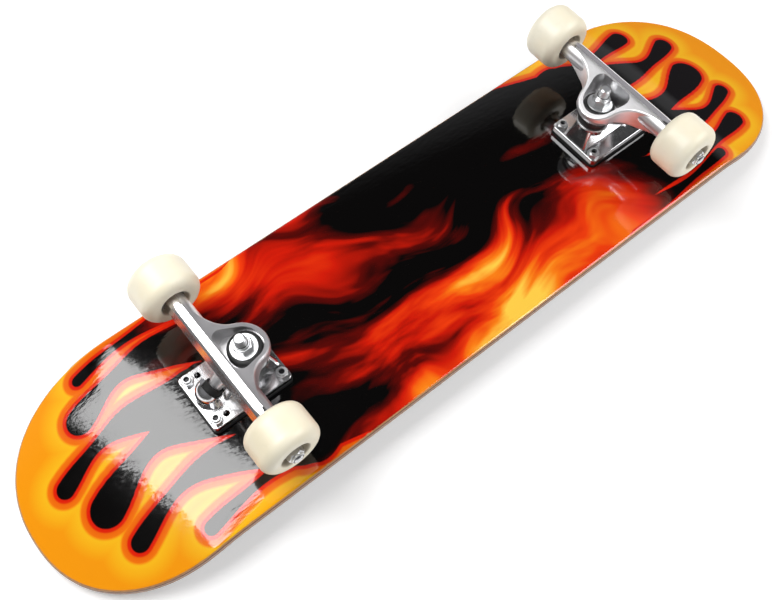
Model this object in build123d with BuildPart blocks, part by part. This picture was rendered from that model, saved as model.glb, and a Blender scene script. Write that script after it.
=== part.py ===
"""Skateboard, lying upside down on the tips of its nose and tail.

Frame in millimetres: +X runs along the board to the nose, +Y across it, +Z up from the floor.
The origin is on the floor, under the middle of the deck.
"""
import os
from math import asin, cos, degrees, radians, sin, sqrt, tan

from build123d import *

os.makedirs("parts", exist_ok=True)

# Deck and grip tape
deck_length = 806.0
deck_width = 203.0
deck_thickness = 11.0
deck_edge_radius = 3.5
end_rounding_share = 0.5665
end_rounding_power = 2.22
end_rounding_points = 12
upright_limit = 0.01
flat_width = 76.0
concave_radius = 620.0
concave_overrun = 2.0
kick_start = 268.0
kick_bend_radius = 114.0
kick_angle = 15.5
tape_thickness = 0.8
tape_inset = 0.4

# Truck places and bolt pattern
truck_spacing = 415.0
bolt_spacing_x = 63.5
bolt_spacing_y = 41.3
spare_hole_step = 9.5

# Mounting bolts and lock nuts
bolt_diameter = 4.8
bolt_head_diameter = 9.5
bolt_head_angle = 90.0
bolt_end_depth = 2.2
bolt_hole_clearance = 0.3
nut_flats = 9.5
nut_hex_height = 4.0
nut_collar_height = 1.7
nut_collar_diameter = 7.8
nut_collar_chamfer = 0.5
thread_clearance = 0.05

# Riser pad and baseplate
riser_thickness = 3.0
riser_margin = 0.6
riser_window_length = 26.0
riser_window_width = 24.0
plate_length = 75.6
plate_width = 55.0
plate_thickness = 6.2
plate_corner_radius = 4.0
plate_edge_radius = 0.8
boss_foot_inner = -36.0
boss_foot_outer = 17.0
boss_foot_width = 25.0
boss_top_length = 26.0
boss_top_width = 19.0
boss_edge_radius = 3.0
boss_slant_limit = 0.5
seat_diameter = 29.0
seat_thickness = 4.0
seat_step = 0.8

# Steering axis and kingpin
ring_x = -15.5
ring_height = 39.9
kingpin_tilt = 7.0
kingpin_diameter = 9.5
kingpin_clearance = 0.1
kingpin_head_flats = 14.3
kingpin_head_height = 6.0
kingpin_head_recess = 0.4
kingpin_tip_above_nut = 8.0
kingpin_tip_chamfer = 1.2
kingpin_nut_flats = 14.3
kingpin_nut_hex_height = 7.0
kingpin_nut_collar_height = 2.2
kingpin_nut_collar_diameter = 12.6
pivot_x = 23.5
pivot_height = 16.5
pivot_ball_radius = 5.2
pivot_running_clearance = 0.05
pivot_cup_wall = 2.8
pivot_cup_floor = 1.8
pivot_cup_lip = 7.0
pivot_cup_mouth_clearance = 0.5
pivot_socket_clearance = 0.05
pivot_housing_wall = 3.6
pivot_foot_taper = 10.0
pivot_housing_mouth = 2.5
pivot_relief_angle = 7.0
pivot_relief_length = 12.0

# Bushings and their washers
ring_web = 4.0
bushing_diameter = 30.0
board_bushing_height = 10.0
board_bushing_bulge = 0.8
road_bushing_height = 6.5
road_bushing_taper = 0.8
bushing_washer_thickness = 1.6
road_washer_diameter = 23.0
washer_edge_radius = 0.6

# Hanger
axle_x = 6.5
axle_height = 53.4
barrel_radius = 9.5
barrel_end_radius = 8.9
barrel_taper_length = 14.0
barrel_top_flat = 9.1
barrel_top_flat_angle = 80.0
barrel_outer_flat = 7.9
barrel_outer_flat_angle = 15.0
yoke_ring_radius = 20.0
yoke_pocket_radius = 16.0
yoke_pocket_depth = 16.0
yoke_pocket_width = 39.0
yoke_pocket_corner = 7.0
yoke_hole_diameter = 13.0
yoke_top_slope = 19.0
flare_half_span = 55.0
flare_start = 15.0
flare_start_lean = 6.0
flare_ring_angle = 105.0
yoke_edge_radius = 2.0
yoke_foot_chamfer = 3.5
yoke_foot_chamfer_height = 6.0
wing_rise_start = 16.0
wing_rise_angle = 16.0
neck_start = 15.0
neck_radius = 6.5
neck_top_length = 11.0
neck_top_width = 28.0
neck_top_x = 22.0

# Axle, wheels and bearings
axle_diameter = 7.94
axle_press_clearance = 0.02
axle_tip_above_nut = 1.0
axle_tip_chamfer = 0.8
axle_nut_flats = 12.7
axle_nut_hex_height = 5.6
axle_nut_collar_height = 2.0
axle_nut_collar_diameter = 11.0
speed_washer_diameter = 13.0
speed_washer_thickness = 1.0
wheel_diameter = 52.4
wheel_width = 34.8
wheel_edge_radius = 9.0
wheel_center_y = 79.0
wheel_mouth_diameter = 25.5
wheel_mouth_radius = 1.5
wheel_rib_diameter = 19.0
bearing_diameter = 22.0
bearing_bore_clearance = 0.02
bearing_width = 7.0
bearing_inner_land = 12.1
bearing_outer_land = 18.0
bearing_pitch_diameter = 15.0
bearing_track_radius = 2.05
bearing_spacing = 10.0
shield_thickness = 0.5
shield_inset = 0.25
shield_clearance = 0.3
spacer_diameter = 10.4

# Worked-out places
kick = radians(kick_angle)
bend_run = kick_bend_radius * sin(kick)
bend_drop = kick_bend_radius * (1 - cos(kick))
half_length = deck_length / 2
half_width = deck_width / 2
end_rounding_length = end_rounding_share * deck_width
tape_margin = deck_edge_radius + tape_inset
tip_reach = half_length - tape_margin - kick_start - bend_run
concave_run = half_width - flat_width / 2
concave_sweep = concave_overrun * degrees(asin(concave_run / concave_radius))
face_z = bend_drop + tip_reach * tan(kick) + (deck_thickness + tape_thickness) / cos(kick)
trim_height = 3 * face_z
bolt_hole_radius = bolt_diameter / 2 + bolt_hole_clearance
head_hole_radius = bolt_head_diameter / 2 + bolt_hole_clearance
plate_top = riser_thickness + plate_thickness
tilt = radians(kingpin_tilt)
kingpin_plane = Plane(
    origin=(ring_x, 0, ring_height), x_dir=(cos(tilt), 0, -sin(tilt)), z_dir=(sin(tilt), 0, cos(tilt))
)
kingpin_profile = Plane(
    origin=kingpin_plane.origin, x_dir=kingpin_plane.x_dir, z_dir=(0, -1, 0)
)
kingpin_axis = Axis(kingpin_plane.origin, kingpin_plane.z_dir)
pivot_center = Vector(pivot_x, 0, pivot_height)
steer_direction = (Vector(ring_x, 0, ring_height) - pivot_center).normalized()
steer_axis = Axis(pivot_center, steer_direction)
steer_profile = Plane(origin=pivot_center, x_dir=steer_direction, z_dir=(0, -1, 0))
pivot_cup_radius = pivot_ball_radius + pivot_cup_wall
pivot_socket_radius = pivot_cup_radius + pivot_socket_clearance
pivot_cup_depth = pivot_ball_radius + pivot_running_clearance + pivot_cup_floor
pivot_housing_radius = pivot_socket_radius + pivot_housing_wall
pivot_rise = pivot_height - plate_top
kingpin_radius = kingpin_diameter / 2
kingpin_hole_radius = kingpin_radius + kingpin_clearance
seat_level = -ring_web / 2 - board_bushing_height - bushing_washer_thickness
road_washer_level = ring_web / 2 + road_bushing_height
kingpin_nut_level = road_washer_level + bushing_washer_thickness
kingpin_nut_height = kingpin_nut_hex_height + kingpin_nut_collar_height
kingpin_tip_level = kingpin_nut_level + kingpin_nut_height + kingpin_tip_above_nut
head_bottom_level = (riser_thickness + kingpin_head_recess - ring_height) / cos(tilt)
head_seat_level = head_bottom_level + kingpin_head_height
head_x = ring_x + head_bottom_level * sin(tilt)
bearing_face = bearing_spacing / 2 + bearing_width
barrel_end = wheel_center_y - bearing_face - speed_washer_thickness
outer_washer_y = wheel_center_y + bearing_face
axle_nut_y = outer_washer_y + speed_washer_thickness
axle_nut_height = axle_nut_hex_height + axle_nut_collar_height
axle_end = axle_nut_y + axle_nut_height + axle_tip_above_nut
axle_line = Axis((axle_x, 0, axle_height), (0, 1, 0))
axle_profile = Plane(origin=(axle_x, 0, axle_height), x_dir=(0, 1, 0), z_dir=(1, 0, 0))
wheel_half = wheel_width / 2
truck_places = {
    "front": Location((truck_spacing / 2, 0, face_z)),
    "rear": Location((-truck_spacing / 2, 0, face_z), (0, 0, 180)),
}


def write_node(part, name):
    """Label a finished piece and write it as one STEP file."""
    part.label = name
    export_step(part, f"parts/{name}.step")


def write_for_trucks(part, name):
    """Write a piece modelled in the truck's own frame once for each truck."""
    for end, place in truck_places.items():
        write_node(part.moved(place), f"{end}_{name}")


def deck_section(plane, depth, thickness):
    """Draw the deck's cross-section: a flat middle with both edges curving towards the floor."""
    flat = flat_width / 2
    outer = concave_radius - depth
    inner = outer - thickness
    with BuildSketch(plane) as section:
        with BuildLine():
            top = Line((-flat, -depth), (flat, -depth))
            right_top = CenterArc((flat, -concave_radius), outer, 90, -concave_sweep)
            left_top = CenterArc((-flat, -concave_radius), outer, 90, concave_sweep)
            bottom = Line((-flat, -depth - thickness), (flat, -depth - thickness))
            right_bottom = CenterArc((flat, -concave_radius), inner, 90, -concave_sweep)
            left_bottom = CenterArc((-flat, -concave_radius), inner, 90, concave_sweep)
            Line(right_top @ 1, right_bottom @ 1)
            Line(left_top @ 1, left_bottom @ 1)
        make_face()
    return section.sketch


def deck_slab(depth, thickness):
    """Run the cross-section along the flat middle, round the bend and up the kick, at both ends."""
    start = Plane(origin=(0, 0, face_z), x_dir=(0, 1, 0), z_dir=(1, 0, 0))
    bend_axis = Axis((kick_start, 0, face_z - kick_bend_radius), (0, 1, 0))
    kick_plane = Plane(
        origin=(kick_start + bend_run, 0, face_z - bend_drop),
        x_dir=(0, 1, 0),
        z_dir=(cos(kick), 0, -sin(kick)),
    )
    with BuildPart() as slab:
        extrude(deck_section(start, depth, thickness), amount=kick_start)
        revolve(deck_section(start.offset(kick_start), depth, thickness), bend_axis, kick_angle)
        extrude(deck_section(kick_plane, depth, thickness), amount=half_length - kick_start)
        mirror(about=Plane.YZ)
    return slab.part


def deck_outline(inset):
    """Draw the plan outline below the floor: straight sides and superelliptic ends."""
    side = half_width - inset
    reach = end_rounding_length - inset
    straight = half_length - end_rounding_length
    angles = [radians(90 * step / end_rounding_points) for step in range(end_rounding_points + 1)]
    corner = [
        (
            straight + reach * cos(angle) ** (2 / end_rounding_power),
            side * sin(angle) ** (2 / end_rounding_power),
        )
        for angle in angles
    ]
    with BuildSketch(Plane.XY.offset(-face_z)) as outline:
        with BuildLine():
            Line((0, side), (straight, side))
            Spline(
                *[(x, -y) for x, y in corner[:0:-1]],
                *corner,
                tangents=((1, 0), (-1, 0)),
            )
            Line((0, -side), (straight, -side))
            mirror(about=Plane.YZ)
        make_face()
    return outline.sketch


deck_bolt_places = [
    (end * truck_spacing / 2 + x * bolt_spacing_x / 2, y * bolt_spacing_y / 2)
    for end in (1, -1)
    for x in (1, -1)
    for y in (1, -1)
]

with BuildPart() as deck:
    add(deck_slab(0, deck_thickness))
    extrude(deck_outline(0), amount=trim_height, mode=Mode.INTERSECT)
    walls = deck.faces().filter_by(lambda face: abs(face.normal_at().Z) < upright_limit)
    rims = walls.edges().filter_by(Axis.Z, reverse=True)
    fillet(rims, deck_edge_radius)
    with Locations(Plane(origin=(0, 0, face_z - deck_thickness), z_dir=(0, 0, -1))):
        with Locations(*deck_bolt_places):
            CounterSinkHole(
                radius=bolt_hole_radius,
                counter_sink_radius=head_hole_radius,
                counter_sink_angle=bolt_head_angle,
            )
write_node(deck.part, "deck")

with BuildPart() as tape:
    add(deck_slab(deck_thickness, tape_thickness))
    extrude(deck_outline(tape_margin), amount=trim_height, mode=Mode.INTERSECT)
    with Locations(Plane(origin=(0, 0, face_z - deck_thickness), z_dir=(0, 0, -1))):
        with Locations(*deck_bolt_places):
            Hole(radius=head_hole_radius)
write_node(tape.part, "grip_tape")


def plate_outline(margin):
    """Draw the rounded rectangle that the baseplate and its riser pad share."""
    RectangleRounded(
        plate_length + 2 * margin, plate_width + 2 * margin, plate_corner_radius + margin
    )


bolt_grid = GridLocations(bolt_spacing_x, bolt_spacing_y, 2, 2)
spare_hole_x = bolt_spacing_x / 2 - spare_hole_step
spare_holes = [(spare_hole_x, bolt_spacing_y / 2), (spare_hole_x, -bolt_spacing_y / 2)]

with BuildPart() as riser_pad:
    with BuildSketch():
        plate_outline(riser_margin)
        with bolt_grid:
            Circle(bolt_hole_radius, mode=Mode.SUBTRACT)
        with Locations(*spare_holes):
            Circle(bolt_hole_radius, mode=Mode.SUBTRACT)
        with Locations((head_x, 0)):
            Rectangle(riser_window_length, riser_window_width, mode=Mode.SUBTRACT)
    extrude(amount=riser_thickness)
write_for_trucks(riser_pad.part, "riser_pad")

with BuildPart() as baseplate:
    with BuildSketch(Plane.XY.offset(riser_thickness)):
        plate_outline(0)
    extrude(amount=plate_thickness)
    fillet(baseplate.faces().sort_by(Axis.Z)[-1].edges(), plate_edge_radius)
    with BuildSketch(Plane.XY.offset(plate_top)):
        with Locations(((boss_foot_inner + boss_foot_outer) / 2, 0)):
            Rectangle(boss_foot_outer - boss_foot_inner, boss_foot_width)
    with BuildSketch(kingpin_plane.offset(seat_level - seat_step)):
        Rectangle(boss_top_length, boss_top_width)
    loft(ruled=True)
    boss_edges = baseplate.edges(Select.LAST)
    fillet(
        boss_edges.filter_by(lambda edge: abs(edge.tangent_at(0.5).Z) > boss_slant_limit),
        boss_edge_radius,
    )
    with BuildSketch(kingpin_plane.offset(seat_level)):
        Circle(seat_diameter / 2)
    extrude(amount=-seat_thickness)
    with BuildSketch(Plane.XY.offset(plate_top)):
        with Locations((pivot_x, 0)):
            Circle(pivot_housing_radius + pivot_rise * tan(radians(pivot_foot_taper)))
    extrude(amount=pivot_rise, taper=pivot_foot_taper)
    with BuildSketch(steer_profile):
        with BuildLine():
            Line((-pivot_housing_radius, 0), (pivot_housing_mouth, 0))
            Line((pivot_housing_mouth, 0), (pivot_housing_mouth, pivot_housing_radius))
            Line((pivot_housing_mouth, pivot_housing_radius), (0, pivot_housing_radius))
            CenterArc((0, 0), pivot_housing_radius, 90, 90)
        make_face()
    revolve(axis=steer_axis)
    with BuildSketch(steer_profile):
        with BuildLine():
            relief_end = pivot_housing_mouth + pivot_relief_length
            relief_radius = pivot_socket_radius + pivot_relief_length * tan(radians(pivot_relief_angle))
            Polyline(
                (-pivot_cup_depth, 0),
                (-pivot_cup_depth, pivot_socket_radius),
                (pivot_housing_mouth, pivot_socket_radius),
                (relief_end, relief_radius),
                (relief_end, 0),
                close=True,
            )
        make_face()
    revolve(axis=steer_axis, mode=Mode.SUBTRACT)
    with BuildSketch(kingpin_plane.offset(head_seat_level)):
        RegularPolygon(kingpin_head_flats / 2 + kingpin_clearance, 6, major_radius=False)
    extrude(amount=-2 * kingpin_head_height, mode=Mode.SUBTRACT)
    with BuildSketch(kingpin_plane.offset(seat_level)):
        Circle(kingpin_hole_radius)
    extrude(amount=head_bottom_level - seat_level, mode=Mode.SUBTRACT)
    with BuildSketch(Plane.XY.offset(plate_top)):
        with bolt_grid:
            Circle(bolt_hole_radius)
        with Locations(*spare_holes):
            Circle(bolt_hole_radius)
    extrude(amount=-plate_thickness, mode=Mode.SUBTRACT)
write_for_trucks(baseplate.part, "baseplate")

with BuildPart() as pivot_cup:
    with BuildSketch(steer_profile):
        seat_radius = pivot_ball_radius + pivot_running_clearance
        nose_widening = (neck_radius - pivot_ball_radius) * pivot_cup_lip / neck_start
        lip_radius = pivot_ball_radius + nose_widening + pivot_cup_mouth_clearance
        with BuildLine():
            Line((-pivot_cup_depth, 0), (-pivot_cup_depth, pivot_cup_radius))
            Line((-pivot_cup_depth, pivot_cup_radius), (pivot_cup_lip, pivot_cup_radius))
            Line((pivot_cup_lip, pivot_cup_radius), (pivot_cup_lip, lip_radius))
            Line((pivot_cup_lip, lip_radius), (0, seat_radius))
            CenterArc((0, 0), seat_radius, 90, 90)
            Line((-seat_radius, 0), (-pivot_cup_depth, 0))
        make_face()
    revolve(axis=steer_axis)
write_for_trucks(pivot_cup.part, "pivot_cup")

with BuildPart() as kingpin:
    with BuildSketch(kingpin_plane.offset(head_bottom_level)):
        RegularPolygon(kingpin_head_flats / 2, 6, major_radius=False)
    extrude(amount=kingpin_head_height)
    with BuildSketch(kingpin_plane.offset(head_bottom_level)):
        Circle(kingpin_radius)
    extrude(amount=kingpin_tip_level - head_bottom_level)
    chamfer(kingpin.faces().sort_by(Axis.Z)[-1].edges(), kingpin_tip_chamfer)
write_for_trucks(kingpin.part, "kingpin")


def lock_nut(plane, flats, hex_height, collar_diameter, collar_height, bore):
    """Build a lock nut: a hexagon with turned corners and a round collar for its locking ring."""
    corner_radius = flats / sqrt(3)
    nut_axis = Axis(plane.origin, plane.z_dir)
    with BuildPart() as nut:
        with BuildSketch(plane):
            Circle(corner_radius)
        extrude(amount=hex_height)
        chamfer(nut.faces().sort_by(nut_axis)[-1].edges(), corner_radius - flats / 2)
        with BuildSketch(plane):
            RegularPolygon(flats / 2, 6, major_radius=False)
        extrude(amount=hex_height, mode=Mode.INTERSECT)
        with BuildSketch(plane.offset(hex_height)):
            Circle(collar_diameter / 2)
        extrude(amount=collar_height)
        chamfer(nut.faces().sort_by(nut_axis)[-1].edges(), nut_collar_chamfer)
        with BuildSketch(plane):
            Circle(bore / 2 + thread_clearance)
        extrude(amount=hex_height + collar_height, mode=Mode.SUBTRACT)
    return nut.part


kingpin_nut = lock_nut(
    kingpin_plane.offset(kingpin_nut_level),
    kingpin_nut_flats,
    kingpin_nut_hex_height,
    kingpin_nut_collar_diameter,
    kingpin_nut_collar_height,
    kingpin_diameter,
)
write_for_trucks(kingpin_nut, "kingpin_nut")

with BuildPart() as board_bushing:
    with BuildSketch(kingpin_profile):
        top = -ring_web / 2
        bottom = top - board_bushing_height
        rim = bushing_diameter / 2 - board_bushing_bulge
        with BuildLine():
            Polyline(
                (rim, bottom), (kingpin_hole_radius, bottom), (kingpin_hole_radius, top), (rim, top)
            )
            ThreePointArc((rim, top), (bushing_diameter / 2, (top + bottom) / 2), (rim, bottom))
        make_face()
    revolve(axis=kingpin_axis)
write_for_trucks(board_bushing.part, "board_bushing")

with BuildPart() as road_bushing:
    with BuildSketch(kingpin_profile):
        foot = ring_web / 2
        top = foot + road_bushing_height
        with BuildLine():
            Polyline(
                (kingpin_hole_radius, foot),
                (bushing_diameter / 2, foot),
                (bushing_diameter / 2 - road_bushing_taper, top),
                (kingpin_hole_radius, top),
                close=True,
            )
        make_face()
    revolve(axis=kingpin_axis)
write_for_trucks(road_bushing.part, "road_bushing")

with BuildPart() as bushing_washers:
    for level, diameter in ((seat_level, seat_diameter), (road_washer_level, road_washer_diameter)):
        with BuildSketch(kingpin_plane.offset(level)):
            Circle(diameter / 2)
            Circle(kingpin_hole_radius, mode=Mode.SUBTRACT)
        extrude(amount=bushing_washer_thickness)
    circles = bushing_washers.edges().filter_by(GeomType.CIRCLE)
    fillet(circles.filter_by(lambda edge: edge.radius > kingpin_diameter), washer_edge_radius)
write_for_trucks(bushing_washers.part, "bushing_washers")


def flat_head_bolt():
    """Build one countersunk bolt, head down in the deck and its end inside the nut."""
    head_radius = bolt_head_diameter / 2
    shank_radius = bolt_diameter / 2
    head_depth = (head_radius - shank_radius) / tan(radians(bolt_head_angle / 2))
    bolt_end = plate_top + nut_hex_height + nut_collar_height - bolt_end_depth
    with BuildPart() as bolt:
        with BuildSketch(Plane.XZ):
            with BuildLine():
                Polyline(
                    (0, -deck_thickness),
                    (head_radius, -deck_thickness),
                    (shank_radius, head_depth - deck_thickness),
                    (shank_radius, bolt_end),
                    (0, bolt_end),
                    close=True,
                )
            make_face()
        revolve(axis=Axis.Z)
    return bolt.part


bolt = flat_head_bolt()
with BuildPart() as mounting_bolts:
    with bolt_grid:
        add(bolt)
write_for_trucks(mounting_bolts.part, "mounting_bolts")

nut = lock_nut(
    Plane.XY.offset(plate_top),
    nut_flats,
    nut_hex_height,
    nut_collar_diameter,
    nut_collar_height,
    bolt_diameter,
)
with BuildPart() as mounting_nuts:
    with bolt_grid:
        add(nut)
write_for_trucks(mounting_nuts.part, "mounting_nuts")

with BuildPart() as hanger:
    slope = radians(yoke_top_slope)
    ridge = Vector(
        axle_x - barrel_radius * sin(slope), 0, axle_height + barrel_radius * cos(slope)
    )
    ring_angle = radians(flare_ring_angle)
    ring_point = (yoke_ring_radius * cos(ring_angle), yoke_ring_radius * sin(ring_angle))
    ring_tangent = (-sin(ring_angle), cos(ring_angle))
    barrel_line = axle_x - ring_x
    lean = radians(flare_start_lean)
    with BuildSketch(kingpin_plane.offset(-ring_web / 2)):
        with BuildLine():
            flare = Spline(
                (flare_start, flare_half_span),
                ring_point,
                tangents=((-sin(lean), -cos(lean)), ring_tangent),
            )
            CenterArc((0, 0), yoke_ring_radius, flare_ring_angle, 180 - flare_ring_angle)
            Line((barrel_line, flare_half_span), flare @ 0)
            Line((barrel_line, 0), (barrel_line, flare_half_span))
            mirror(about=Plane.XZ)
        make_face()
    extrude(amount=2 * barrel_radius + axle_height - ring_height)
    split(bisect_by=Plane(origin=ridge, z_dir=(-sin(slope), 0, cos(slope))), keep=Keep.BOTTOM)
    fillet(hanger.faces().sort_by(Axis.Z)[-1].edges(), yoke_edge_radius)
    yoke_foot = hanger.faces().sort_by(Axis.Z)[0]
    foot_curves = yoke_foot.edges().filter_by(GeomType.LINE, reverse=True)
    chamfer(foot_curves, yoke_foot_chamfer, yoke_foot_chamfer_height, reference=yoke_foot)
    rise = radians(wing_rise_angle)
    foot_center = kingpin_plane.origin - kingpin_plane.z_dir * ring_web / 2
    for side in (1, -1):
        wing_foot = Plane(
            origin=foot_center + Vector(0, side * wing_rise_start, 0),
            z_dir=kingpin_plane.z_dir * cos(rise) - Vector(0, side * sin(rise), 0),
        )
        split(bisect_by=wing_foot, keep=Keep.TOP)
    with BuildSketch(axle_profile):
        with BuildLine():
            taper_start = barrel_end - barrel_taper_length
            Polyline(
                (-barrel_end, 0),
                (-barrel_end, barrel_end_radius),
                (-taper_start, barrel_radius),
                (taper_start, barrel_radius),
                (barrel_end, barrel_end_radius),
                (barrel_end, 0),
                close=True,
            )
        make_face()
    revolve(axis=axle_line)
    for depth, angle in (
        (barrel_top_flat, radians(barrel_top_flat_angle)),
        (barrel_outer_flat, radians(barrel_outer_flat_angle)),
    ):
        facing = Vector(cos(angle), 0, sin(angle))
        split(bisect_by=Plane(origin=axle_line.position + facing * depth, z_dir=facing), keep=Keep.BOTTOM)
    with BuildSketch(Plane(origin=pivot_center + steer_direction * neck_start, z_dir=steer_direction)):
        Circle(neck_radius)
    with BuildSketch(kingpin_plane.offset(-ring_web / 2)) as neck_top:
        with Locations((neck_top_x, 0)):
            Ellipse(neck_top_length / 2, neck_top_width / 2)
    loft()
    extrude(neck_top.sketch, amount=axle_height - ring_height)
    with BuildSketch(steer_profile):
        with BuildLine():
            Line((-pivot_ball_radius, 0), (neck_start, 0))
            Line((neck_start, 0), (neck_start, neck_radius))
            Line((neck_start, neck_radius), (0, pivot_ball_radius))
            CenterArc((0, 0), pivot_ball_radius, 90, 90)
        make_face()
    revolve(axis=steer_axis)
    with BuildSketch(kingpin_plane.offset(ring_web / 2)):
        Circle(yoke_pocket_radius)
        corner_x = yoke_pocket_depth - yoke_pocket_corner
        corner_y = yoke_pocket_width / 2 - yoke_pocket_corner
        with Locations((corner_x, corner_y), (corner_x, -corner_y)):
            Circle(yoke_pocket_corner)
        make_hull()
    extrude(amount=2 * barrel_radius + axle_height - ring_height, mode=Mode.SUBTRACT)
    with BuildSketch(kingpin_plane.offset(-ring_web / 2)):
        Circle(yoke_hole_diameter / 2)
    extrude(amount=ring_web, mode=Mode.SUBTRACT)
    with BuildSketch(Plane(origin=(axle_x, -barrel_end, axle_height), z_dir=(0, 1, 0))):
        Circle(axle_diameter / 2 + axle_press_clearance)
    extrude(amount=2 * barrel_end, mode=Mode.SUBTRACT)
write_for_trucks(hanger.part, "hanger")

with BuildPart() as axle:
    with BuildSketch(Plane(origin=(axle_x, -axle_end, axle_height), z_dir=(0, 1, 0))):
        Circle(axle_diameter / 2)
    extrude(amount=2 * axle_end)
    chamfer(axle.edges().filter_by(GeomType.CIRCLE), axle_tip_chamfer)
write_for_trucks(axle.part, "axle")


def both_sides(y):
    """Give the planes square to the axle at a distance from the middle, facing outwards."""
    return [
        Plane(origin=(axle_x, side * y, axle_height), x_dir=(1, 0, 0), z_dir=(0, side, 0))
        for side in (1, -1)
    ]


left_nut, right_nut = [
    lock_nut(
        plane,
        axle_nut_flats,
        axle_nut_hex_height,
        axle_nut_collar_diameter,
        axle_nut_collar_height,
        axle_diameter,
    )
    for plane in both_sides(axle_nut_y)
]
with BuildPart() as axle_nuts:
    add(left_nut)
    add(right_nut)
write_for_trucks(axle_nuts.part, "axle_nuts")

axle_hole_radius = axle_diameter / 2 + bearing_bore_clearance

with BuildPart() as axle_washers:
    for plane in both_sides(barrel_end) + both_sides(outer_washer_y):
        with BuildSketch(plane):
            Circle(speed_washer_diameter / 2)
            Circle(axle_hole_radius, mode=Mode.SUBTRACT)
        extrude(amount=speed_washer_thickness)
write_for_trucks(axle_washers.part, "axle_washers")

with BuildPart() as bearing_spacers:
    for plane in both_sides(wheel_center_y - bearing_spacing / 2):
        with BuildSketch(plane):
            Circle(spacer_diameter / 2)
            Circle(axle_hole_radius, mode=Mode.SUBTRACT)
        extrude(amount=bearing_spacing)
write_for_trucks(bearing_spacers.part, "bearing_spacers")

bearing_middle = (bearing_spacing + bearing_width) / 2
track_center = bearing_pitch_diameter / 2


def race_profile(inner_radius, outer_radius, middle):
    """Draw half a race in section, radius along X and width along Y, with its ball track."""
    with Locations(((inner_radius + outer_radius) / 2, middle)):
        Rectangle(outer_radius - inner_radius, bearing_width)
    with Locations((track_center, middle)):
        Circle(bearing_track_radius, mode=Mode.SUBTRACT)


with BuildPart() as bearing_inner_races:
    for side in (1, -1):
        wheel_plane = Plane(
            origin=(axle_x, side * wheel_center_y, axle_height), x_dir=(1, 0, 0), z_dir=(0, 0, 1)
        )
        with BuildSketch(wheel_plane):
            for middle in (bearing_middle, -bearing_middle):
                race_profile(axle_hole_radius, bearing_inner_land / 2, middle)
        revolve(axis=axle_line)
write_for_trucks(bearing_inner_races.part, "bearing_inner_races")

wheel_section = [
    (wheel_rib_diameter / 2, bearing_spacing / 2),
    (bearing_diameter / 2, bearing_spacing / 2),
    (bearing_diameter / 2, bearing_face),
    (wheel_mouth_diameter / 2, wheel_half),
    (wheel_diameter / 2, wheel_half),
]

with BuildPart() as wheel:
    with BuildSketch() as tread:
        with BuildLine():
            Polyline(*wheel_section, *[(x, -y) for x, y in reversed(wheel_section)], close=True)
        make_face()
        fillet(tread.vertices().group_by(Axis.X)[-2], wheel_mouth_radius)
        fillet(tread.vertices().group_by(Axis.X)[-1], wheel_edge_radius)
    revolve(axis=Axis.Y)

with BuildPart() as bearing_outer_races:
    with BuildSketch():
        for middle in (bearing_middle, -bearing_middle):
            race_profile(bearing_outer_land / 2, bearing_diameter / 2, middle)
    revolve(axis=Axis.Y)

shield_inner = bearing_inner_land / 2 + shield_clearance
shield_outer = bearing_outer_land / 2
shield_reach = (bearing_width - shield_thickness) / 2 - shield_inset

with BuildPart() as bearing_shields:
    with BuildSketch():
        for middle in (bearing_middle, -bearing_middle):
            with Locations(((shield_inner + shield_outer) / 2, middle)):
                with Locations((0, shield_reach), (0, -shield_reach)):
                    Rectangle(shield_outer - shield_inner, shield_thickness)
    revolve(axis=Axis.Y)

for end, along in (("front", 1), ("rear", -1)):
    for side, across in (("left", 1), ("right", -1)):
        hub = Location(
            (along * (truck_spacing / 2 + axle_x), across * wheel_center_y, face_z + axle_height),
            (0, 0, 90 - 90 * across),
        )
        write_node(wheel.part.moved(hub), f"{end}_{side}_wheel")
        write_node(bearing_outer_races.part.moved(hub), f"{end}_{side}_bearing_outer_races")
        write_node(bearing_shields.part.moved(hub), f"{end}_{side}_bearing_shields")
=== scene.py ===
"""Looks of a skateboard that lies upside down on the tips of its nose and tail, wheels up.

Metres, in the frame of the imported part: +X to the nose, +Y across the board, +Z up.
"""

from math import cos, pi, radians, sin

import bmesh
import bpy
import numpy as np
from mathutils import Matrix, Vector


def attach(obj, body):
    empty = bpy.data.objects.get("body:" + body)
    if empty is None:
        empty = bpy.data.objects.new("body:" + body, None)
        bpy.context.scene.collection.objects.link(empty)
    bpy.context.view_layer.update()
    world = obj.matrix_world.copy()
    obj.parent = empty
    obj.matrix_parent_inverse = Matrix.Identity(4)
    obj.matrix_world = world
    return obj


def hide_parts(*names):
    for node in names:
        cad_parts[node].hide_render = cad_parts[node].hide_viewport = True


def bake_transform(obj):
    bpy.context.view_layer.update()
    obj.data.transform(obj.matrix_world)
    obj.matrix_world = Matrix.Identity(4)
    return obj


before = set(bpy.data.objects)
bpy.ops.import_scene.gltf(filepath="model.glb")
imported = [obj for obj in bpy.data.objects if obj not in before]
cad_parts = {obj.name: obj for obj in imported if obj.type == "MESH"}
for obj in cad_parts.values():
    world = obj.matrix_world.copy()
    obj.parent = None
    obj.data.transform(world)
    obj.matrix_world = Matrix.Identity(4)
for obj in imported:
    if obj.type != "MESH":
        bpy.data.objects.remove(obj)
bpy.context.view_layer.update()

# Deck: seven maple plies glued in a mould that turns up the nose, the tail and both edges.
# The rim is sanded round and sealed, so the stacked plies show there as light and dark lines.
deck_face = 0.0443
deck_thickness = 0.011
deck_half_length = 0.403
deck_half_width = 0.1015
deck_edge_radius = 0.0035
end_rounding = 0.115
end_power = 2.22
flat_half_width = 0.038
concave_radius = 0.620
kick_start = 0.268
kick = radians(15.5)
bend_radius = 0.114
bend_height = deck_face - bend_radius
ply_count = 7
ply_grain_depth = 0.00008


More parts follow.
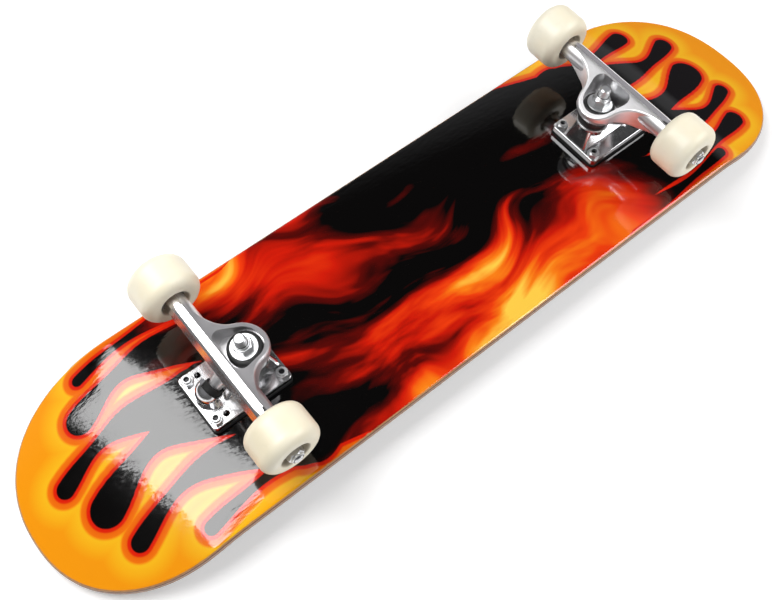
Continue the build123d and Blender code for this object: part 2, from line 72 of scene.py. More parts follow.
class Wire:
    """A socket of a node tree: sums on it add Math nodes, and node() adds any other node."""

    def __init__(self, tree, socket):
        self.tree = tree
        self.socket = socket

    def node(self, kind, settings=None, inputs=None, output=0):
        """Add a node with its settings and inputs, and give the wire that leaves it."""
        made = self.tree.nodes.new(kind)
        for key, value in (settings or {}).items():
            setattr(made, key, value)
        for key, value in (inputs or {}).items():
            if isinstance(value, Wire):
                self.tree.links.new(value.socket, made.inputs[key])
            else:
                made.inputs[key].default_value = value
        return Wire(self.tree, made.outputs[output])

    def maths(self, operation, *others):
        values = dict(enumerate((self, *others)))
        return self.node("ShaderNodeMath", {"operation": operation}, values)

    def __add__(self, other):
        return self.maths("ADD", other)

    def __sub__(self, other):
        return self.maths("SUBTRACT", other)

    def __rsub__(self, other):
        return self.node("ShaderNodeMath", {"operation": "SUBTRACT"}, {0: other, 1: self})

    def __mul__(self, other):
        return self.maths("MULTIPLY", other)

    def __truediv__(self, other):
        return self.maths("DIVIDE", other)

    __radd__ = __add__
    __rmul__ = __mul__

    def above(self, low, high):
        """Rise smoothly from 0 at low to 1 at high."""
        limits = {0: self, 1: low, 2: high}
        return self.node("ShaderNodeMapRange", {"interpolation_type": "SMOOTHSTEP"}, limits)

    def mix(self, first, second):
        """Go from the first colour to the second as this value goes from 0 to 1."""
        return self.node("ShaderNodeMix", {"data_type": "RGBA"}, {0: self, 6: first, 7: second}, 2)

    def ramp(self, *stops):
        """Go through the colours, each given after the value at which it is reached."""
        made = self.node("ShaderNodeValToRGB", {}, {0: self})
        elements = made.socket.node.color_ramp.elements
        elements.remove(elements[1])
        elements[0].position = stops[0][0]
        for value, _ in stops[1:]:
            elements.new(value)
        for element, (_, colour) in zip(elements, stops):
            element.color = (*colour[:3], 1.0)
        return made

    def stretched(self, x, y, z):
        shares = {0: self, 1: (x, y, z)}
        return self.node("ShaderNodeVectorMath", {"operation": "MULTIPLY"}, shares)

    def noise(self, scale, detail=2.0, roughness=0.5, output=0):
        sizes = {"Vector": self, "Scale": scale, "Detail": detail, "Roughness": roughness}
        return self.node("ShaderNodeTexNoise", {}, sizes, output)

    def parts(self):
        made = self.node("ShaderNodeSeparateXYZ", {}, {0: self})
        return [Wire(self.tree, socket) for socket in made.socket.node.outputs]


def tint(red, green, blue):
    """A colour as seen on a screen, 0 to 255, as the light values that a shader takes."""
    shares = [value / 255 for value in (red, green, blue)]
    return tuple(
        share / 12.92 if share < 0.04045 else ((share + 0.055) / 1.055) ** 2.4 for share in shares
    ) + (1.0,)


def finish(name, **constants):
    """Start a material: its shader with the constant sockets set, and its Object coordinates."""
    material = bpy.data.materials.new(name)
    material.use_nodes = True
    tree = material.node_tree
    shader = tree.nodes["Principled BSDF"]
    for socket, value in constants.items():
        shader.inputs[socket.replace("_", " ")].default_value = value
    place = tree.nodes.new("ShaderNodeTexCoord")
    return material, Wire(tree, place.outputs["Object"])


def feed(material, socket, wire):
    shader = material.node_tree.nodes["Principled BSDF"]
    wire.tree.links.new(wire.socket, shader.inputs[socket])


def emboss(material, height, distance):
    """Raise the surface by a height between 0 and 1, times the distance in metres."""
    bump = height.node("ShaderNodeBump", {}, {"Height": height, "Distance": distance})
    feed(material, "Normal", bump)


def dress(material, *nodes):
    for node in nodes:
        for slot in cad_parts[node].material_slots:
            slot.material = material


def face_depth(place):
    """How deep a point lies under the deck's face, square to it."""
    along, across, height = place.parts()
    reach = along.maths("ABSOLUTE") - kick_start
    rise = height - bend_height
    turn = reach.maths("ARCTAN2", rise).maths("MAXIMUM", 0.0).maths("MINIMUM", kick)
    flare = (across.maths("ABSOLUTE") - flat_half_width).maths("MAXIMUM", 0.0)
    depth = bend_radius - reach * turn.maths("SINE") - rise * turn.maths("COSINE")
    return depth - flare * flare / (2 * concave_radius)


ply, place = finish("maple_ply", Coat_Weight=0.35, Coat_Roughness=0.2)
wobble = place.noise(30.0) * 0.16
layer = face_depth(place) * (ply_count / deck_thickness) + wobble
within = layer.maths("FRACT")
odd = layer.maths("FLOORED_MODULO", 2.0).above(0.98, 1.02)
glue = 1 - within.above(0.0, 0.10) * (1 - within.above(0.90, 1.0))
long_grain = place.stretched(25, 420, 420).noise(1.0, 4.0, 0.6)
end_grain = place.stretched(900, 900, 300).noise(1.0, 3.0, 0.6)
light_ply = long_grain.ramp((0.3, tint(172, 122, 78)), (0.7, tint(202, 154, 104)))
dark_ply = end_grain.ramp((0.3, tint(98, 56, 34)), (0.7, tint(134, 84, 52)))
glue_brown = tint(92, 44, 26)
feed(ply, "Base Color", (glue * 0.7).mix(odd.mix(light_ply, dark_ply), glue_brown))
feed(ply, "Roughness", 0.38 + long_grain * 0.3)
emboss(ply, long_grain * 0.6 + end_grain * 0.4, ply_grain_depth)
dress(ply, "deck")

# Print: a heat-pressed film over the whole underside of the deck, sealed with gloss lacquer.
# It carries common flame licks at both ends and soft fire over black in the middle.
# The licks are what black bays leave of each end's yellow.
print_lift = 0.00006
print_edge = 0.0015
weld_gap = 0.00001
side_points = 200
end_points = 220
even_share = 0.4
rim_loops = 7
face_loops = 100
face_inset = 0.0045
fibre_depth = 0.00007
chip_depths = (0.00005, 0.0004)
lick_reach = 0.183
side_reach = 0.080
side_power = 4
lick_fade = 0.024
lick_blur = 0.0005
bay_points = 25
sway_turn = 1.3 * pi
waist_depth = 0.55
waist_end = 0.6
mouth_power = 2.4

# Each bay's start behind the tip, offset across, reach and sway, and half widths of head and mouth.
tail_bays = (
    (0.114, -0.085, 0.165, 0.006, 0.006, 0.014),
    (0.066, -0.057, 0.150, 0.014, 0.008, 0.028),
    (0.060, -0.019, 0.165, 0.018, 0.015, 0.031),
    (0.042, 0.017, 0.128, 0.012, 0.008, 0.029),
    (0.080, 0.055, 0.140, 0.011, 0.012, 0.028),
    (0.096, 0.085, 0.160, 0.005, 0.005, 0.015),
)
nose_bays = (
    (0.122, -0.088, 0.150, -0.004, 0.005, 0.013),
    (0.072, -0.066, 0.150, -0.009, 0.009, 0.026),
    (0.050, -0.032, 0.124, -0.014, 0.007, 0.029),
    (0.066, 0.002, 0.170, -0.018, 0.016, 0.032),
    (0.054, 0.044, 0.134, -0.013, 0.009, 0.031),
    (0.092, 0.073, 0.160, -0.008, 0.009, 0.023),
)


def bay_distance(inward, across, start, offset, reach, sway, head, mouth):
    """How far a point lies from one bay: a bent finger of black with a round head and a waist."""
    steps = np.linspace(0, 1, bay_points)
    waist = 1 - waist_depth * np.sin(pi * np.clip(steps / waist_end, 0, 1)) ** 2
    opening = steps**mouth_power
    half = head * waist * (1 - opening) + mouth * opening
    path = np.column_stack([start + reach * steps, offset + sway * np.sin(sway_turn * steps), half])
    nearest = np.full(inward.shape, np.inf)
    for (a0, b0, r0), (a1, b1, r1) in zip(path, path[1:]):
        run, side = a1 - a0, b1 - b0
        share = np.clip(((inward - a0) * run + (across - b0) * side) / (run**2 + side**2), 0, 1)
        gap = np.hypot(inward - a0 - share * run, across - b0 - share * side)
        nearest = np.minimum(nearest, gap - r0 - share * (r1 - r0))
    return nearest


def lick_distance(inward, across, bays):
    """How far a point lies inside the licks of one end of the board."""
    inside = lick_reach + side_reach * (np.abs(across) / deck_half_width) ** side_power - inward
    for bay in bays:
        inside = np.minimum(inside, bay_distance(inward, across, *bay))
    return inside


def plan_loop(inset):
    """One closed line in plan, an inset inside the deck's outline: sides and superelliptic ends."""
    straight = deck_half_length - end_rounding
    steps = np.linspace(-1, 1, side_points)
    sides = straight * (even_share * steps + (1 - even_share) * np.sin(0.5 * pi * steps))
    angles = np.linspace(pi / 2, -pi / 2, end_points + 2)[1:-1]
    ends = straight + (end_rounding - inset) * np.cos(angles) ** (2 / end_power)
    half = deck_half_width - inset
    left = np.full(side_points, half)
    curve = half * np.sign(np.sin(angles)) * np.abs(np.sin(angles)) ** (2 / end_power)
    x = np.concatenate([sides, ends, -sides, -ends])
    y = np.concatenate([left, curve, -left, -curve])
    return x, y


def face_height(x, y):
    """How high the deck's face stands at a place: flat middle, curved edges and kicked ends."""
    drop = np.clip(np.abs(y) - flat_half_width, 0, None)
    radius = bend_radius - concave_radius + np.sqrt(concave_radius**2 - drop**2)
    run = np.clip(np.abs(x) - kick_start, 0, None)
    bent = np.sqrt(np.maximum(radius**2 - run**2, 0))
    kicked = (radius - run * sin(kick)) / cos(kick)
    return bend_height + np.where(run < radius * sin(kick), bent, kicked)


def print_loop(inset):
    """One closed line round the film, on the deck's face or over the rounding of its rim."""
    x, y = plan_loop(inset)
    rim_top = face_height(*plan_loop(deck_edge_radius))
    slope = (face_height(*plan_loop(2 * deck_edge_radius)) - rim_top) / deck_edge_radius
    tilt = np.sqrt(1 + slope**2)
    overhang = max(deck_edge_radius - inset, 0)
    on_rim = (overhang > 0) & (overhang > deck_edge_radius * slope / tilt)
    rounding = ((deck_edge_radius + print_lift) ** 2 - overhang**2) ** 0.5
    over_rim = rim_top - deck_edge_radius * tilt + rounding
    z = np.where(on_rim, over_rim, face_height(x, y) + print_lift)
    return np.column_stack([x, y, z])


def loop_faces(loops, points, closed=False):
    """Quads between neighbouring loops of points; closed also joins the last loop to the first."""
    return [
        (row * points + k, after * points + k, after * points + beside, row * points + beside)
        for row, after in ((row, (row + 1) % loops) for row in range(loops if closed else loops - 1))
        for k, beside in ((k, (k + 1) % points) for k in range(points))
    ]


def smooth_skin(name, points, faces):
    """A smooth mesh of points and faces, with doubled points welded and the faces turned alike."""
    mesh = bpy.data.meshes.new(name)
    mesh.from_pydata(points, [], faces)
    shape = bmesh.new()
    shape.from_mesh(mesh)
    bmesh.ops.remove_doubles(shape, verts=shape.verts, dist=weld_gap)
    bmesh.ops.recalc_face_normals(shape, faces=shape.faces)
    shape.to_mesh(mesh)
    shape.free()
    mesh.polygons.foreach_set("use_smooth", [True] * len(mesh.polygons))
    return mesh


def add_piece(name, mesh, material):
    mesh.materials.append(material)
    piece = bpy.data.objects.new(name, mesh)
    bpy.context.scene.collection.objects.link(piece)
    return piece


rim_turns = np.linspace(np.arcsin(1 - print_edge / deck_edge_radius), 0, rim_loops)
insets = [
    *(deck_edge_radius * (1 - np.sin(rim_turns))),
    *np.linspace(face_inset, deck_half_width, face_loops),
]
loops = [print_loop(inset) for inset in insets]
film_faces = loop_faces(len(loops), len(loops[0]))
film_mesh = smooth_skin("deck_print", np.concatenate(loops).tolist(), film_faces)
if sum(face.normal.z for face in film_mesh.polygons) < 0:
    film_mesh.flip_normals()
film_x, film_y, _ = np.array([point.co for point in film_mesh.vertices]).T
inward = deck_half_length - np.abs(film_x)
lick_depths = np.where(
    film_x < 0,
    lick_distance(inward, film_y, tail_bays),
    lick_distance(inward, film_y, nose_bays),
)
film_mesh.attributes.new("lick_depth", "FLOAT", "POINT").data.foreach_set("value", lick_depths)

film, place = finish("printed_film", Specular_IOR_Level=0.8)
lick = place.node("ShaderNodeAttribute", {"attribute_name": "lick_depth"}, {}, "Fac")
lick_colour = (lick / lick_fade).ramp(
    (0.0, tint(222, 30, 6)),
    (0.10, tint(226, 38, 8)),
    (0.15, tint(240, 104, 12)),
    (0.29, tint(244, 118, 14)),
    (0.38, tint(252, 190, 30)),
    (1.0, tint(250, 156, 16)),
)
warp = {0: place.noise(5.0, 2.0, 0.5, 1), 1: (0.22, 0.22, 0.0), 2: place}
swirl = place.node("ShaderNodeVectorMath", {"operation": "MULTIPLY_ADD"}, warp)
lean = {"Vector": swirl, "Rotation": (0, 0, radians(-24)), "Scale": (4.5, 17, 0)}
tongues = place.node("ShaderNodeMapping", {}, lean).noise(1.0, 4.0, 0.5)
patch = place.stretched(1, 1, 0).noise(4.2, 1.0, 0.4)
along, across, _ = place.parts()
middle = 1 - (along + 0.03).maths("ABSOLUTE").above(0.13, 0.30)
heat = (tongues - 0.5) * 2.3 + (patch - 0.5) * 1.8 + 0.36 - (across + 0.025) * 1.2
fire_colour = (heat * middle).ramp(
    (0.22, tint(4, 3, 3)),
    (0.36, tint(92, 6, 3)),
    (0.50, tint(204, 26, 6)),
    (0.64, tint(238, 62, 12)),
    (0.78, tint(250, 128, 22)),
    (0.95, tint(255, 206, 74)),
)
printed = lick.above(-lick_blur, lick_blur).mix(fire_colour, lick_colour)
chips = place.noise(150.0, 3.0, 0.6).above(0.56, 0.62) * face_depth(place).above(*chip_depths)
bare_maple = tint(206, 160, 110)
fibre = place.stretched(0.3, 1, 1).noise(340.0)
feed(film, "Base Color", chips.mix(printed, bare_maple))
feed(film, "Roughness", 0.04 + place.noise(40.0, 3.0) * 0.05)
emboss(film, fibre * 0.8 + place.noise(90.0) * 0.2, fibre_depth)
deck_print = add_piece("deck_print", film_mesh, film)
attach(deck_print, "board")

# Grip tape: a plastic sheet with black grit bonded to it, for the rider's shoes to hold on to.
# It is glued over the standing side of the deck and trimmed to its outline.
grit_height = 0.0003
grip, place = finish("grip_grit", Specular_IOR_Level=0.4)
grit = place.node("ShaderNodeTexVoronoi", {"feature": "F1"}, {"Vector": place, "Scale": 1500.0})
tone = place.noise(900.0, 3.0, 0.7)
feed(grip, "Base Color", tone.ramp((0.35, (0.004, 0.004, 0.004)), (0.75, (0.045, 0.045, 0.047))))
feed(grip, "Roughness", 0.95 - tone.above(0.6, 0.75) * 0.55)
emboss(grip, 1 - grit * 1.4, grit_height)
dress(grip, "grip_tape")

# Riser pads: black moulded rubber plates between the deck and each truck.
# They soften shocks, and the four bolts of the truck clamp them in place.
riser_thickness = 0.003
pebble_height = 0.00006
rubber, place = finish("riser_rubber", Specular_IOR_Level=0.35)
bloom = place.noise(60.0, 3.0)
feed(rubber, "Base Color", bloom.ramp((0.3, (0.008, 0.008, 0.008)), (0.8, (0.026, 0.025, 0.025))))
feed(rubber, "Roughness", 0.55 + bloom * 0.25)
emboss(rubber, place.noise(1200.0, 2.0, 0.6), pebble_height)
dress(rubber, "front_riser_pad", "rear_riser_pad")

# Baseplates: cast aluminium, tumbled smooth and polished bright.
# Four bolts clamp each one to the deck through its riser pad.
plate_thickness = 0.0062
plate_grain_depth = 0.00003
truck_reach = 0.2075
axle_reach = truck_reach + 0.0065
axle_height = deck_face + 0.0534
barrel_radius = 0.0092
barrel_blend = 0.001
polish_start = -0.006


def from_axle(place):
    """How far a point lies from the axle of its own truck, and how far on towards the board's end."""
    along, _, height = place.parts()
    outward = along.maths("ABSOLUTE") - axle_reach
    rise = height - axle_height
    return (outward * outward + rise * rise).maths("SQRT"), outward


def cast_metal(name, bright, smooth, grain_depth, barrel_polish=0.0):
    """Polished cast aluminium: faint clouds, fine tumbling marks, and a smoother axle barrel."""
    metal, place = finish(name, Metallic=1.0)
    cloud = place.noise(45.0, 3.0, 0.55)
    tumble = place.noise(750.0, 3.0, 0.65)
    scuff = place.stretched(1, 0.25, 1).noise(1600.0)
    dull = tuple(0.86 * share for share in bright)
    feed(metal, "Base Color", cloud.ramp((0.3, dull), (0.7, bright)))
    gap, outward = from_axle(place)
    barrel = 1 - gap.above(barrel_radius, barrel_radius + barrel_blend)
    rough = smooth + cloud * 0.10 + scuff.above(0.5, 0.8) * (0.10 - barrel * 0.09)
    feed(metal, "Roughness", rough - barrel * outward.above(polish_start, 0.0) * barrel_polish)
    emboss(metal, (tumble * 0.7 + cloud * 0.3 - 0.5) * (1 - barrel * 0.9), grain_depth)
    return metal


plate_metal = cast_metal("polished_plate", (0.80, 0.80, 0.81), 0.10, plate_grain_depth)
dress(plate_metal, "front_baseplate", "rear_baseplate")

# Pivot cups: black moulded rubber cups, in which the noses of the hangers turn.
# Each one is pressed into the housing of its baseplate.
dress(rubber, "front_pivot_cup", "rear_pivot_cup")

# Mounting bolts and lock nuts: black oxide bolts and zinc plated nuts, four of each to a truck.
# Each nut's collar is rolled over a dark nylon ring that grips the thread.
bolt_spacing = (0.0635, 0.0413)
nut_height = 0.0057
nut_top = deck_face + riser_thickness + plate_thickness + nut_height
ring_sink = 0.0006
ring_points = 40
bead_points = 12
drawing_depth = 0.00001
trucks = {"front": Matrix.Identity(4), "rear": Matrix.Rotation(pi, 4, "Z")}


def plated_steel(name, bright, smooth):
    """Zinc plated steel: a cool bright coat with slight clouding and fine drawing marks."""
    steel, place = finish(name, Metallic=1.0)
    cloud = place.noise(140.0, 3.0, 0.6)
    dull = tuple(0.8 * share for share in bright)
    feed(steel, "Base Color", cloud.ramp((0.3, dull), (0.75, bright)))
    feed(steel, "Roughness", smooth + cloud * 0.14)
    emboss(steel, place.noise(2600.0, 2.0, 0.6), drawing_depth)
    return steel


zinc = plated_steel("bright_zinc", (0.80, 0.81, 0.82), 0.28)
dress(zinc, *[f"{end}_mounting_nuts" for end in trucks])
oxide = plated_steel("black_oxide", (0.05, 0.05, 0.052), 0.30)
dress(oxide, *[f"{end}_mounting_bolts" for end in trucks])

nylon, place = finish("dark_nylon", Specular_IOR_Level=0.4)
speck = place.noise(1500.0)
feed(nylon, "Base Color", speck.ramp((0.3, (0.006, 0.006, 0.007)), (0.7, (0.020, 0.020, 0.022))))
feed(nylon, "Roughness", 0.45 + speck * 0.2)


def shape_tree(name, sizes):
    """Start a shape tree with named inputs, and give the tree and a wire from each input."""
    tree = bpy.data.node_groups.new(name, "GeometryNodeTree")
    tree.interface.new_socket("Geometry", in_out="OUTPUT", socket_type="NodeSocketGeometry")
    for label, value in sizes.items():
        kind = "NodeSocketInt" if isinstance(value, int) else "NodeSocketFloat"
        tree.interface.new_socket(label, in_out="INPUT", socket_type=kind).default_value = value
    source = tree.nodes.new("NodeGroupInput")
    return tree, {label: Wire(tree, source.outputs[label]) for label in sizes}


def circle(radius, points):
    sizes = {"Resolution": points, "Radius": radius}
    return radius.node("GeometryNodeCurvePrimitiveCircle", {}, sizes)


def end_tree(tree, shape, material):
    """End a shape tree with plain geometry in one material."""
    realized = shape.node("GeometryNodeRealizeInstances", {}, {0: shape})
    coloured = shape.node("GeometryNodeSetMaterial", {}, {0: realized, "Material": material})
    sink = tree.nodes.new("NodeGroupOutput")
    tree.links.new(coloured.socket, sink.inputs[0])


def grow(name, tree, sizes, put):
    """Run a shape tree at the given sizes and keep the result, put in place, as a plain mesh piece."""
    blank = bpy.data.objects.new(name, bpy.data.meshes.new(name + "_start"))
    bpy.context.scene.collection.objects.link(blank)
    maker = blank.modifiers.new("shape", "NODES")
    maker.node_group = tree
    for item in tree.interface.items_tree:
        if item.in_out == "INPUT" and item.name in sizes:
            maker[item.identifier] = sizes[item.name]
    evaluated = blank.evaluated_get(bpy.context.evaluated_depsgraph_get())
    mesh = bpy.data.meshes.new_from_object(evaluated)
    blank.modifiers.remove(maker)
    blank.data = mesh
    mesh.transform(put)
    return blank


ring_sizes = {
    "Count": 2,
    "Spacing X": bolt_spacing[0],
    "Spacing Y": bolt_spacing[1],
    "Radius": 0.0023,
    "Thickness": 0.00028,
}
ring_tree, size = shape_tree("nylon_rings", ring_sizes)
rows = dict(enumerate(size[label] for label in ("Spacing X", "Spacing Y", "Count", "Count")))
grid = size["Count"].node("GeometryNodeMeshGrid", {}, rows)
bead = {0: circle(size["Radius"], ring_points), 1: circle(size["Thickness"], bead_points)}
ring = grid.node("GeometryNodeCurveToMesh", {}, bead)
rings = grid.node("GeometryNodeInstanceOnPoints", {}, {"Points": grid, "Instance": ring})
end_tree(ring_tree, rings, nylon)
for end, turn in trucks.items():
    put = turn @ Matrix.Translation((truck_reach, 0, nut_top - ring_sink))
    rings = grow(f"{end}_nut_nylon_rings", ring_tree, ring_sizes, put)
    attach(rings, "board")

# Kingpins, their nuts and the bushing washers: zinc plated steel on each truck's steering bolt.
# The end of the kingpin stands out of its nut and shows its thread.
kingpin_lean = radians(7)
kingpin_place = (truck_reach - 0.0155, 0, deck_face + 0.0399)
kingpin_nut_top = 0.0193
kingpin_ring = {"Count": 1, "Radius": 0.0051, "Thickness": 0.00032}
thread_sizes = {"Radius": 0.00470, "Length": 0.0064, "Pitch": 0.00106, "Depth": 0.00022}
turn_points = 40
ridge_points = 4
kingpin_zinc = plated_steel("kingpin_zinc", (0.84, 0.85, 0.86), 0.30)
kingpin_parts = ("kingpin", "kingpin_nut", "bushing_washers")
dress(kingpin_zinc, *[f"{end}_{name}" for end in trucks for name in kingpin_parts])
thread_tree, size = shape_tree("screw_thread", thread_sizes)
spiral = {
    "Resolution": turn_points,
    "Rotations": size["Length"] / size["Pitch"],
    "Start Radius": size["Radius"],
    "End Radius": size["Radius"],
    "Height": size["Length"],
}
helix = size["Radius"].node("GeometryNodeCurveSpiral", {}, spiral)
ridge = {0: helix, 1: circle(size["Depth"], ridge_points), "Fill Caps": True}
end_tree(thread_tree, helix.node("GeometryNodeCurveToMesh", {}, ridge), kingpin_zinc)
on_kingpin = {
    end: turn @ Matrix.Translation(kingpin_place) @ Matrix.Rotation(kingpin_lean, 4, "Y")
    for end, turn in trucks.items()
}
for end, seat in on_kingpin.items():
    put = seat @ Matrix.Translation((0, 0, kingpin_nut_top))
    thread = grow(f"{end}_kingpin_thread", thread_tree, thread_sizes, put)
    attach(thread, "board")
    ring = grow(f"{end}_kingpin_nylon_ring", ring_tree, kingpin_ring, put)
    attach(ring, "board")

# Bushings: black cast urethane rings on the kingpin, above and below the hanger's ring.
# They squeeze as the truck steers.
bushing_bore = 0.00486
bushing_gap = 0.00002
board_seat = -0.0120
road_seat = 0.0085
half_web = 0.0020
side_steps = 12
lathe_steps = 72
cast_grain_depth = 0.00002
urethane, place = finish("black_urethane", Coat_Weight=0.15, Coat_Roughness=0.3)
haze = place.noise(120.0, 3.0, 0.6)
haze_colour = haze.ramp((0.3, (0.007, 0.007, 0.007)), (0.75, (0.022, 0.022, 0.022)))
feed(urethane, "Base Color", haze_colour)
feed(urethane, "Roughness", 0.34 + haze * 0.24)
emboss(urethane, place.noise(900.0), cast_grain_depth)


def bushing_outline(foot, top, foot_radius, middle_radius, top_radius, rim):
    """A bushing's half section: rounded rims, and a side that bulges through its middle radius."""
    bulge = middle_radius - (foot_radius + top_radius) / 2
    side = []
    for share in (k / side_steps for k in range(side_steps + 1)):
        radius = foot_radius + (top_radius - foot_radius) * share + bulge * 4 * share * (1 - share)
        side.append((radius, foot + rim + (top - foot - 2 * rim) * share))
    start = [(bushing_bore, foot), (foot_radius - rim, foot)]
    return [*start, *side, (top_radius - rim, top), (bushing_bore, top)]


def lathe(name, outline, put, material):
    """Turn a closed outline of radius and height pairs about its own Z axis, then put it in place."""
    angles = [2 * pi * k / lathe_steps for k in range(lathe_steps)]
    points = [put @ Vector((r * cos(a), r * sin(a), h)) for a in angles for r, h in outline]
    mesh = smooth_skin(name, points, loop_faces(lathe_steps, len(outline), closed=True))
    return add_piece(name, mesh, material)


board_outline = bushing_outline(
    foot=board_seat + bushing_gap,
    top=-half_web - bushing_gap,
    foot_radius=0.0142,
    middle_radius=0.01495,
    top_radius=0.0142,
    rim=0.0008,
)
road_outline = bushing_outline(
    foot=half_web + bushing_gap,
    top=road_seat - bushing_gap,
    foot_radius=0.01495,
    middle_radius=0.0147,
    top_radius=0.0142,
    rim=0.0007,
)
for end, put in on_kingpin.items():
    for name, outline, seat, web in (
        ("board_bushing", board_outline, board_seat, -half_web),
        ("road_bushing", road_outline, road_seat, half_web),
    ):
        bushing = lathe(f"{end}_{name}_cast", outline, put, urethane)
        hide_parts(f"{end}_{name}")
        start, stop = put @ Vector((0, 0, seat)), put @ Vector((0, 0, web))
        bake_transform(bushing)

# Hangers: cast aluminium yokes with a ring for the bushings, an axle barrel and a pivot nose.
# The barrel is polished on its outer side, and the bushings hold the yoke on the kingpin.
hanger_grain_depth = 0.000014
hanger_metal = cast_metal("cast_hanger", (0.87, 0.86, 0.87), 0.34, hanger_grain_depth, 0.18)
dress(hanger_metal, "front_hanger", "rear_hanger")

# Axles, axle nuts, speed washers and bearing spacers: steel, turned and plated.
# The rod is cast into the hanger's barrel, and a lock nut holds each wheel on its end.
axle_nut_top = 0.0996
axle_ring = {"Count": 1, "Radius": 0.0043, "Thickness": 0.00030}
axle_steel = plated_steel("axle_steel", (0.70, 0.70, 0.71), 0.20)
dress(axle_steel, "front_axle", "rear_axle")
axle_parts = ("axle_nuts", "axle_washers", "bearing_spacers")
dress(zinc, *[f"{end}_{name}" for end in trucks for name in axle_parts])
for end, ahead in (("front", 1), ("rear", -1)):
    for side, sign in (("left", 1), ("right", -1)):
        put = Matrix.Translation((ahead * axle_reach, sign * axle_nut_top, axle_height))
        put = put @ Matrix.Rotation(pi / 2, 4, "X")
        ring = grow(f"{end}_{side}_axle_nylon_ring", ring_tree, axle_ring, put)
        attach(ring, f"{end}_hanger_body")

# Bearings: hardened and ground steel races with pressed steel shields, two to a wheel.
# The outer races are pressed into the wheels, and the inner ones are clamped on the axles.
race_steel = plated_steel("ground_race", (0.60, 0.60, 0.61), 0.14)
# The shields are a dark grey steel, as painted shade deep in the wheels' hubs.
shaded_shield_steel = plated_steel("shaded_pressed_shield", (0.24, 0.24, 0.245), 0.30)
hubs = [f"{end}_{side}" for end in trucks for side in ("left", "right")]
dress(race_steel, *[f"{hub}_bearing_outer_races" for hub in hubs])
dress(race_steel, *[f"{end}_bearing_inner_races" for end in trucks])
dress(shaded_shield_steel, *[f"{hub}_bearing_shields" for hub in hubs])

# Wheels: cream white urethane, cast in a mould and turned to size on a lathe.
# Each one rolls on two bearings that are pressed into its hub.
hub_shade_radii = (0.0118, 0.0140)
lathe_mark_depth = 0.00002
cream, place = finish("cream_urethane", Coat_Weight=0.2, Coat_Roughness=0.25)
milk = place.noise(28.0, 3.0, 0.55)
turned = place.stretched(40, 2600, 40).noise(1.0, 2.0, 0.6)
smudge = place.noise(210.0, 4.0, 0.6)
milk_colour = milk.ramp((0.3, tint(253, 242, 212)), (0.7, tint(255, 249, 228)))
# Faint smudges all over are dirt. Round the bearings the hub is darkened brown as painted shade of the
# recess.
gap, _ = from_axle(place)
smudge_and_hub_shade = smudge.above(0.56, 0.75) * 0.04 + (1 - gap.above(*hub_shade_radii)) * 0.65
smudge_and_shade_brown = tint(118, 96, 66)
feed(cream, "Base Color", smudge_and_hub_shade.mix(milk_colour, smudge_and_shade_brown))
feed(cream, "Roughness", 0.36 + smudge * 0.14)
emboss(cream, turned * 0.7 + smudge * 0.3, lathe_mark_depth)
dress(cream, *[f"{hub}_wheel" for hub in hubs])

# Floor and light: a white paper sweep, a soft box above the tail and another beside the nose.
# The surroundings are dim overhead, which keeps the lacquer black, and pale grey lower down.
floor_reach = 6
floor_height = -0.0002
floor_rise = (0.7, 2.0)
paper, place = finish(
    "studio_paper",
    Base_Color=(0.86, 0.86, 0.86, 1),
    Roughness=0.9,
    Specular_IOR_Level=0.1,
    Emission_Strength=1.0,
)
seen = place.node("ShaderNodeLightPath", {}, {}, "Is Camera Ray")
glossy = place.node("ShaderNodeLightPath", {}, {}, "Is Glossy Ray")
away = place.node("ShaderNodeVectorMath", {"operation": "LENGTH"}, {0: place}, 1).above(*floor_rise)
lit = seen * (0.32 + away * 0.68) + glossy * 0.4
feed(paper, "Emission Color", lit.mix((0, 0, 0, 1), (1, 1, 1, 1)))
floor_mesh = bpy.data.meshes.new("floor")
signs = ((-1, -1), (1, -1), (1, 1), (-1, 1))
corners = [(floor_reach * x, floor_reach * y, floor_height) for x, y in signs]
floor_mesh.from_pydata(corners, [], [(0, 1, 2, 3)])
floor = add_piece("floor", floor_mesh, paper)

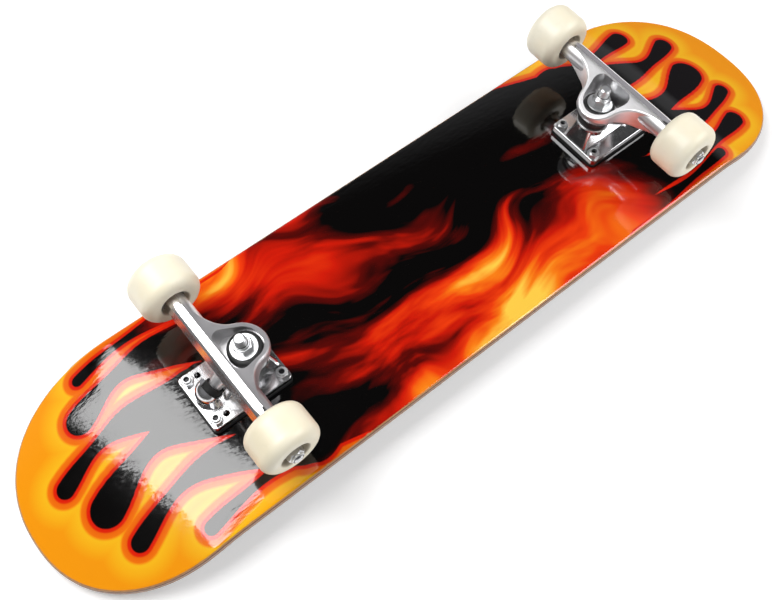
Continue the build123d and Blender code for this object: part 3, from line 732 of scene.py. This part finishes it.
world = bpy.data.worlds.new("studio")
bpy.context.scene.world = world
world.use_nodes = True
sky = Wire(world.node_tree, world.node_tree.nodes.new("ShaderNodeTexCoord").outputs["Generated"])
ahead, _, up = sky.parts()
behind_glow = up.ramp(
    (0.0, (0.10, 0.10, 0.10)),
    (0.35, (0.12, 0.12, 0.12)),
    (0.60, (0.22, 0.22, 0.23)),
    (0.72, (0.03, 0.03, 0.03)),
)
ahead_glow = up.ramp(
    (0.0, (0.10, 0.09, 0.10)),
    (0.34, (0.09, 0.08, 0.09)),
    (0.48, (0.44, 0.43, 0.45)),
    (0.63, (0.42, 0.42, 0.43)),
    (0.75, (0.03, 0.03, 0.03)),
)
glow = ahead.above(0.0, 0.65).mix(behind_glow, ahead_glow)
backdrop = sky.node("ShaderNodeLightPath", {}, {}, "Is Camera Ray").mix(glow, (1, 1, 1, 1))
world.node_tree.links.new(backdrop.socket, world.node_tree.nodes["Background"].inputs["Color"])


def soft_box(name, place, target, width, height, radiance):
    """A soft box at a place, facing a target, given by the radiance of its front."""
    light = bpy.data.lights.new(name, "AREA")
    light.shape = "RECTANGLE"
    light.size, light.size_y = width, height
    light.energy = radiance * pi * width * height
    lamp = bpy.data.objects.new(name, light)
    facing = (Vector(place) - Vector(target)).to_track_quat("Z", "Y").to_matrix().to_4x4()
    lamp.matrix_world = Matrix.Translation(place) @ facing
    bpy.context.scene.collection.objects.link(lamp)


soft_box("tail_box", (-0.62, 0.55, 1.40), (-0.60, 0.40, 0.05), 0.98, 1.05, 7.0)
soft_box("side_box", (1.05, -0.90, 1.30), (0.1, 0, 0.05), 1.2, 0.9, 5.4)

# Camera: stands where the photograph was taken from and looks the same way.
# Its place and angle were found from the bolts, the deck's outline and the wheels.
picture_width = 773
focal_pixels = 948.2
camera_place = (-0.31099, -0.30049, 0.75799)
right = Vector((0.77803, -0.62793, 0.01912))
above = Vector((0.54887, 0.69424, 0.46559))
back = Vector((-0.30563, -0.35175, 0.88480))
lens = bpy.data.cameras.new("camera")
lens.sensor_width = 36.0
lens.lens = focal_pixels / picture_width * lens.sensor_width
camera = bpy.data.objects.new("camera", lens)
facing = Matrix((right, above, back)).transposed().to_4x4()
camera.matrix_world = Matrix.Translation(camera_place) @ facing
bpy.context.scene.collection.objects.link(camera)
bpy.context.scene.camera = camera
bpy.context.scene.view_settings.view_transform = "Standard"
